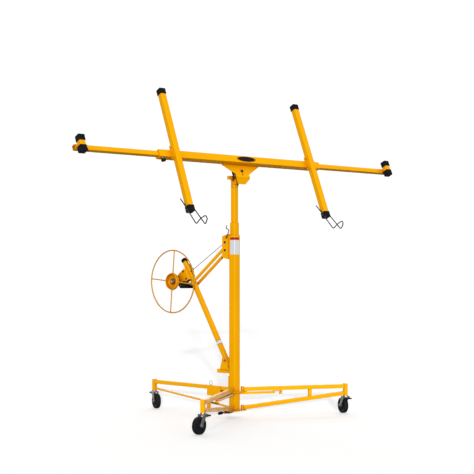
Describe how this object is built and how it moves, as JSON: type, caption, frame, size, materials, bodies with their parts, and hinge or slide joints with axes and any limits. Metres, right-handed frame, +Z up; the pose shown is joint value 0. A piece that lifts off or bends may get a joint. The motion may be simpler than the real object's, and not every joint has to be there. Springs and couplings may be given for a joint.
{
  "type": "drywall lift",
  "caption": "Hand-wound drywall lift: telescoping square mast on a folding caster tripod, with a tilting cradle of cross arms, outriggers and sheet hooks",
  "frame": {"origin": "Middle of the bounding box on the floor under the casters", "axes": "+X along the cradle beam to the right of someone loading a sheet, +Y towards the winch, +Z up"},
  "size_m": [2.4392, 1.3144, 2.0415],
  "materials": {
    "yellow_paint": "gloss",
    "black_rubber": "matte",
    "zinc": "satin",
    "dark_wire": "satin",
    "wire_rope": "satin"
  },
  "bodies": {
    "base": {"outer_mast": "yellow_paint", "hub_top_plate": "yellow_paint", "hub_bottom_plate": "yellow_paint", "rear_leg_upper_rail": "yellow_paint", "rear_leg_lower_frame": "yellow_paint", "rear_leg_clamp": "yellow_paint", "left_leg_lock_bar": "yellow_paint", "right_leg_lock_bar": "yellow_paint", "winch_stub": "yellow_paint", "winch_strut": "yellow_paint", "left_stay": "yellow_paint", "right_stay": "yellow_paint", "mast_bracket": "yellow_paint", "winch_plate_left": "yellow_paint", "winch_plate_right": "yellow_paint", "winch_cable": "wire_rope"},
    "left_leg": {"left_leg_upper_rail": "yellow_paint", "left_leg_lower_frame": "yellow_paint"},
    "right_leg": {"right_leg_upper_rail": "yellow_paint", "right_leg_lower_frame": "yellow_paint"},
    "left_lock_knob": {"left_leg_lock_knob": "yellow_paint"},
    "right_lock_knob": {"right_leg_lock_knob": "yellow_paint"},
    "rear_pin": {"rear_lock_pin": "zinc"},
    "left_foot_lever": {"foot_lever_left": "black_rubber"},
    "right_foot_lever": {"foot_lever_right": "black_rubber"},
    "pulley": {"cable_pulley": "zinc"},
    "winch": {"winch_drum": "zinc", "hand_wheel": "yellow_paint", "brake_drum": "yellow_paint"},
    "brake": {"brake_lever": "zinc", "brake_grip": "black_rubber"},
    "hook_on_mast": {"mast_hook": "dark_wire"},
    "mid_section": {"mid_mast": "yellow_paint"},
    "inner_section": {"inner_mast": "yellow_paint"},
    "head": {"swivel_head": "yellow_paint", "tilt_bolt": "zinc"},
    "cradle": {"cradle_beam": "yellow_paint", "cradle_bracket": "yellow_paint", "left_saddle": "yellow_paint", "right_saddle": "yellow_paint", "left_cross_arm": "yellow_paint", "right_cross_arm": "yellow_paint"},
    "latch": {"tilt_latch": "dark_wire"},
    "left_extension": {"left_outrigger": "yellow_paint", "left_end_pad": "yellow_paint"},
    "left_knob": {"left_outrigger_knob": "black_rubber"},
    "left_hook": {"left_sheet_hook": "dark_wire"},
    "right_extension": {"right_outrigger": "yellow_paint", "right_end_pad": "yellow_paint"},
    "right_knob": {"right_outrigger_knob": "black_rubber"},
    "right_hook": {"right_sheet_hook": "dark_wire"},
    "left_caster": {"left_caster_fork": "zinc"},
    "left_wheel": {"left_caster_wheel": "black_rubber"},
    "left_pedal": {"left_caster_brake_pedal": "black_rubber"},
    "right_caster": {"right_caster_fork": "zinc"},
    "right_wheel": {"right_caster_wheel": "black_rubber"},
    "right_pedal": {"right_caster_brake_pedal": "black_rubber"},
    "rear_caster": {"rear_caster_fork": "zinc"},
    "rear_wheel": {"rear_caster_wheel": "black_rubber"},
    "rear_pedal": {"rear_caster_brake_pedal": "black_rubber"}
  },
  "joints": [
    {"name": "left_leg_fold", "type": "hinge", "parent": "base", "child": "left_leg", "pos_m": [-0.06011, -0.17734, 0.12], "axis": [0, 0, 1], "range_deg": [-100, 0]},
    {"name": "right_leg_fold", "type": "hinge", "parent": "base", "child": "right_leg", "pos_m": [0.02996, -0.17734, 0.12], "axis": [0, 0, 1], "range_deg": [0, 100]},
    {"name": "left_leg_lock", "type": "slide", "parent": "base", "child": "left_lock_knob", "axis": [0, 0, -1], "range_m": [0, 0.006]},
    {"name": "right_leg_lock", "type": "slide", "parent": "base", "child": "right_lock_knob", "axis": [0, 0, -1], "range_m": [0, 0.006]},
    {"name": "rear_pin_pull", "type": "slide", "parent": "base", "child": "rear_pin", "axis": [0, 0, 1], "range_m": [0, 0.03], "stiffness_N_per_m": 250},
    {"name": "left_foot_lever_press", "type": "hinge", "parent": "base", "child": "left_foot_lever", "pos_m": [-0.04507, -0.10134, 0.032], "axis": [1, 0, 0], "range_deg": [-6, 12]},
    {"name": "right_foot_lever_press", "type": "hinge", "parent": "base", "child": "right_foot_lever", "pos_m": [0.01493, -0.10134, 0.032], "axis": [1, 0, 0], "range_deg": [-6, 12]},
    {"name": "left_caster_swivel", "type": "hinge", "parent": "left_leg", "child": "left_caster", "pos_m": [-0.66632, -0.52734, 0.117], "axis": [0, 0, 1], "continuous": true},
    {"name": "left_wheel_roll", "type": "hinge", "parent": "left_caster", "child": "left_wheel", "pos_m": [-0.69909, -0.53124, 0.051], "axis": [0.1184, -0.993, 0], "continuous": true},
    {"name": "left_pedal_press", "type": "hinge", "parent": "left_caster", "child": "left_pedal", "pos_m": [-0.64051, -0.52426, 0.101], "axis": [0.1184, -0.993, 0], "range_deg": [-12, 0]},
    {"name": "right_caster_swivel", "type": "hinge", "parent": "right_leg", "child": "right_caster", "pos_m": [0.63618, -0.52734, 0.117], "axis": [0, 0, 1], "continuous": true},
    {"name": "right_wheel_roll", "type": "hinge", "parent": "right_caster", "child": "right_wheel", "pos_m": [0.64907, -0.49696, 0.051], "axis": [-0.9205, 0.3907, 0], "continuous": true},
    {"name": "right_pedal_press", "type": "hinge", "parent": "right_caster", "child": "right_pedal", "pos_m": [0.62602, -0.55127, 0.101], "axis": [-0.9205, 0.3907, 0], "range_deg": [-12, 0]},
    {"name": "rear_caster_swivel", "type": "hinge", "parent": "base", "child": "rear_caster", "pos_m": [-0.01507, 0.60066, 0.117], "axis": [0, 0, 1], "continuous": true},
    {"name": "rear_wheel_roll", "type": "hinge", "parent": "rear_caster", "child": "rear_wheel", "pos_m": [-0.02636, 0.56965, 0.051], "axis": [0.9397, -0.342, 0], "continuous": true},
    {"name": "rear_pedal_press", "type": "hinge", "parent": "rear_caster", "child": "rear_pedal", "pos_m": [-0.00618, 0.6251, 0.101], "axis": [0.9397, -0.342, 0], "range_deg": [-12, 0]},
    {"name": "drum_turn", "type": "hinge", "parent": "base", "child": "winch", "pos_m": [-0.01507, 0.32566, 0.858], "axis": [1, 0, 0], "continuous": true},
    {"name": "pulley_turn", "type": "hinge", "parent": "base", "child": "pulley", "pos_m": [-0.01507, -0.09934, 1.108], "axis": [1, 0, 0], "continuous": true},
    {"name": "brake_release", "type": "hinge", "parent": "base", "child": "brake", "pos_m": [0.04493, 0.29712, 0.94069], "axis": [1, 0, 0], "range_deg": [-10, 0]},
    {"name": "mast_hook_swing", "type": "hinge", "parent": "base", "child": "hook_on_mast", "pos_m": [-0.05707, -0.11734, 1.14], "axis": [1, 0, 0], "range_deg": [-20, 20]},
    {"name": "mid_section_lift", "type": "slide", "parent": "base", "child": "mid_section", "axis": [0, 0, 1], "range_m": [-0.078, 0.9]},
    {"name": "inner_section_lift", "type": "slide", "parent": "mid_section", "child": "inner_section", "axis": [0, 0, 1], "range_m": [-0.2, 0.75]},
    {"name": "head_swivel", "type": "hinge", "parent": "inner_section", "child": "head", "pos_m": [-0.01507, -0.15134, 1.465], "axis": [0, 0, 1], "range_deg": [-51, 69]},
    {"name": "cradle_tilt", "type": "hinge", "parent": "head", "child": "cradle", "pos_m": [-0.02422, -0.20912, 1.5468], "axis": [0.9877, -0.1564, 0], "range_deg": [-67, 0]},
    {"name": "tilt_latch_release", "type": "hinge", "parent": "cradle", "child": "latch", "pos_m": [-0.08241, -0.19292, 1.5656], "axis": [0.9877, -0.1564, 0], "range_deg": [0, 25]},
    {"name": "left_outrigger_slide", "type": "slide", "parent": "cradle", "child": "left_extension", "axis": [-0.9877, 0.1564, 0], "range_m": [-0.45, 0.08]},
    {"name": "left_outrigger_clamp", "type": "slide", "parent": "cradle", "child": "left_knob", "axis": [-0.0611, -0.3859, -0.9205], "range_m": [0, 0.006]},
    {"name": "left_hook_swing", "type": "hinge", "parent": "cradle", "child": "left_hook", "pos_m": [-0.58051, -0.31422, 1.31221], "axis": [0.9877, -0.1564, 0], "range_deg": [-50, 30]},
    {"name": "right_outrigger_slide", "type": "slide", "parent": "cradle", "child": "right_extension", "axis": [0.9877, -0.1564, 0], "range_m": [-0.5, 0.02]},
    {"name": "right_outrigger_clamp", "type": "slide", "parent": "cradle", "child": "right_knob", "axis": [0.0611, 0.3859, 0.9205], "range_m": [0, 0.006]},
    {"name": "right_hook_swing", "type": "hinge", "parent": "cradle", "child": "right_hook", "pos_m": [0.47236, -0.48098, 1.31221], "axis": [0.9877, -0.1564, 0], "range_deg": [-50, 30]}
  ],
  "couplings": [
    {"joint": "drum_turn", "follows": "inner_section_lift", "rad_per_m": -59.5},
    {"joint": "pulley_turn", "follows": "inner_section_lift", "rad_per_m": -57.8}
  ]
}
